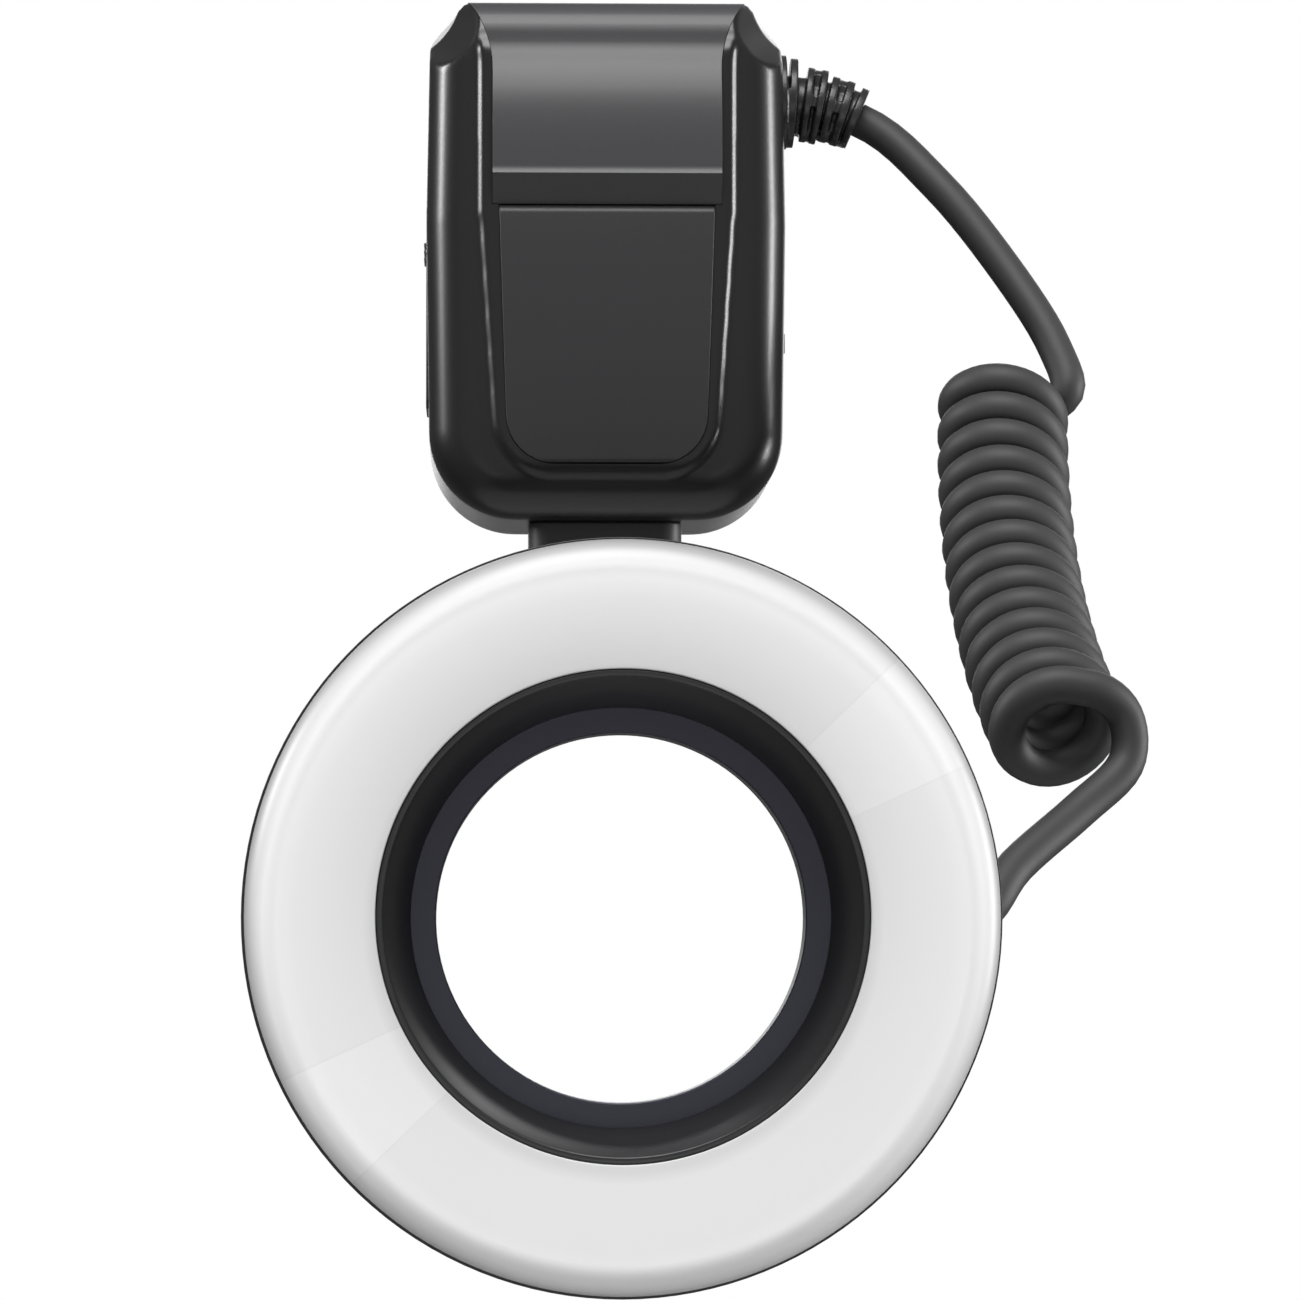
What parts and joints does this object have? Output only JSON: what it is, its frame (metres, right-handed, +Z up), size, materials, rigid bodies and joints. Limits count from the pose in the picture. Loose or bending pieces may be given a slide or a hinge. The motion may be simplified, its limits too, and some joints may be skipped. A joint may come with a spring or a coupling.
{
  "type": "macro ring flash",
  "caption": "Macro ring flash: a control unit on a hot-shoe foot joined by a curly cord to a white ring head that latches on a lens adapter ring.",
  "frame": {"origin": "middle of the hot-shoe foot's bottom face", "axes": "+Z up out of the shoe, -Y towards the subject along the lens axis, +X to the viewer's right, seen from the front"},
  "size_m": [0.1607, 0.2024, 0.2466],
  "materials": {
    "shell_plastic": "satin moulded",
    "brow_plastic": "satin moulded",
    "panel_plastic": "fine matt",
    "screw_steel": "zinc",
    "window_glass": "clear polished",
    "display_panel": "smooth",
    "circuit_board": "solder mask",
    "capacitor_can": "sleeved",
    "transformer_winding": "wound",
    "dial_plastic": "fine grain",
    "key_rubber": "matt",
    "test_plastic": "translucent",
    "tray_plastic": "moulded",
    "contact_gold": "plated",
    "battery_plastic": "satin moulded",
    "cover_rubber": "matt",
    "foot_steel": "satin plated",
    "cord_rubber": "matt",
    "case_plastic": "fine grain",
    "hood_plastic": "satin",
    "diffuser_acrylic": "opal satin",
    "reflector_foil": "bright",
    "tube_glass": "clear",
    "socket_plastic": "moulded",
    "lamp_lens": "clear",
    "adapter_alloy": "anodised satin"
  },
  "bodies": {
    "control_unit": {"front_shell": "shell_plastic", "rear_shell": "shell_plastic", "shell_screws": "screw_steel", "brow_panel": "brow_plastic", "lower_panel": "panel_plastic", "lcd_window": "window_glass", "lcd_module": "display_panel", "key_board": "circuit_board", "main_board": "circuit_board", "board_screws": "screw_steel", "flash_capacitor": "capacitor_can", "boost_transformer": "transformer_winding", "dial_encoder": "tray_plastic", "battery_tray": "tray_plastic", "battery_contacts": "contact_gold", "port_sockets": "tray_plastic", "unit_relief": "cord_rubber", "foot_block": "shell_plastic", "foot_neck": "foot_steel", "foot_plate": "foot_steel", "foot_contacts": "contact_gold", "cord_lead": "cord_rubber", "cord_curl": "cord_rubber", "adapter_ring": "adapter_alloy"},
    "ring_head": {"head_case": "case_plastic", "rear_cover": "case_plastic", "head_screws": "screw_steel", "diffuser": "diffuser_acrylic", "bore_hood": "hood_plastic", "reflector": "reflector_foil", "flash_tube_upper": "tube_glass", "flash_tube_lower": "tube_glass", "tube_sockets": "socket_plastic", "focus_lamps": "lamp_lens", "head_board": "circuit_board", "release_springs": "screw_steel", "head_relief": "cord_rubber", "cord_tail": "cord_rubber"},
    "release_left": {"release_button_left": "dial_plastic", "latch_plate_left": "screw_steel"},
    "release_right": {"release_button_right": "dial_plastic", "latch_plate_right": "screw_steel"},
    "dial": {"control_dial": "dial_plastic"},
    "set_button": {"set_button": "dial_plastic"},
    "function_key_1": {"function_key_1": "key_rubber"},
    "function_key_2": {"function_key_2": "key_rubber"},
    "function_key_3": {"function_key_3": "key_rubber"},
    "function_key_4": {"function_key_4": "key_rubber"},
    "mode_key": {"mode_key": "key_rubber"},
    "lamp_key": {"lamp_key": "key_rubber"},
    "group_key": {"group_key": "key_rubber"},
    "test_button": {"test_button": "test_plastic"},
    "power_switch": {"power_switch": "dial_plastic"},
    "battery": {"battery_pack": "battery_plastic"},
    "battery_latch": {"battery_latch": "key_rubber"},
    "port_cover": {"port_cover": "cover_rubber"},
    "lock_lever": {"lock_lever": "dial_plastic"},
    "lock_pin": {"lock_pin": "foot_steel"}
  },
  "joints": [
    {"name": "head_turn", "type": "hinge", "parent": "control_unit", "child": "ring_head", "pos_m": [0, -0.143, -0.064], "axis": [0, -1, 0], "range_deg": [-40, 10], "deforming": ["cord_curl"]},
    {"name": "release_left_press", "type": "slide", "parent": "ring_head", "child": "release_left", "axis": [1, 0, 0], "range_m": [0, 0.0022], "stiffness_N_per_m": 600, "deforming": ["release_springs"]},
    {"name": "release_right_press", "type": "slide", "parent": "ring_head", "child": "release_right", "axis": [-1, 0, 0], "range_m": [0, 0.0022], "stiffness_N_per_m": 600, "deforming": ["release_springs"]},
    {"name": "dial_turn", "type": "hinge", "parent": "control_unit", "child": "dial", "pos_m": [0, 0.028, 0.0475], "axis": [0, 1, 0], "continuous": true},
    {"name": "set_button_press", "type": "slide", "parent": "control_unit", "child": "set_button", "axis": [0, -1, 0], "range_m": [0, 0.0008], "stiffness_N_per_m": 400},
    {"name": "function_key_1_press", "type": "slide", "parent": "control_unit", "child": "function_key_1", "axis": [0, -1, 0], "range_m": [0, 0.0008], "stiffness_N_per_m": 400},
    {"name": "function_key_2_press", "type": "slide", "parent": "control_unit", "child": "function_key_2", "axis": [0, -1, 0], "range_m": [0, 0.0008], "stiffness_N_per_m": 400},
    {"name": "function_key_3_press", "type": "slide", "parent": "control_unit", "child": "function_key_3", "axis": [0, -1, 0], "range_m": [0, 0.0008], "stiffness_N_per_m": 400},
    {"name": "function_key_4_press", "type": "slide", "parent": "control_unit", "child": "function_key_4", "axis": [0, -1, 0], "range_m": [0, 0.0008], "stiffness_N_per_m": 400},
    {"name": "mode_key_press", "type": "slide", "parent": "control_unit", "child": "mode_key", "axis": [0, -1, 0], "range_m": [0, 0.0008], "stiffness_N_per_m": 400},
    {"name": "lamp_key_press", "type": "slide", "parent": "control_unit", "child": "lamp_key", "axis": [0, -1, 0], "range_m": [0, 0.0008], "stiffness_N_per_m": 400},
    {"name": "group_key_press", "type": "slide", "parent": "control_unit", "child": "group_key", "axis": [0, -1, 0], "range_m": [0, 0.0008], "stiffness_N_per_m": 400},
    {"name": "test_button_press", "type": "slide", "parent": "control_unit", "child": "test_button", "axis": [0, -1, 0], "range_m": [0, 0.0008], "stiffness_N_per_m": 400},
    {"name": "power_slide", "type": "slide", "parent": "control_unit", "child": "power_switch", "axis": [1, 0, 0], "range_m": [0, 0.006]},
    {"name": "battery_slide", "type": "slide", "parent": "control_unit", "child": "battery", "axis": [-1, 0, 0], "range_m": [0, 0.058]},
    {"name": "battery_latch_slide", "type": "slide", "parent": "battery", "child": "battery_latch", "axis": [0, 0, -1], "range_m": [0, 0.002], "stiffness_N_per_m": 300},
    {"name": "port_cover_open", "type": "hinge", "parent": "control_unit", "child": "port_cover", "pos_m": [0.03425, 0.0025, 0.0515], "axis": [0, 0, 1], "range_deg": [0, 95]},
    {"name": "lock_lever_turn", "type": "hinge", "parent": "control_unit", "child": "lock_lever", "pos_m": [0, 0, 0.0048], "axis": [0, 0, 1], "range_deg": [0, 70]},
    {"name": "lock_pin_lift", "type": "slide", "parent": "control_unit", "child": "lock_pin", "axis": [0, 0, 1], "range_m": [0, 0.0012]}
  ],
  "couplings": [
    {"joint": "lock_pin_lift", "follows": "lock_lever_turn", "m_per_rad": 0.00098}
  ]
}
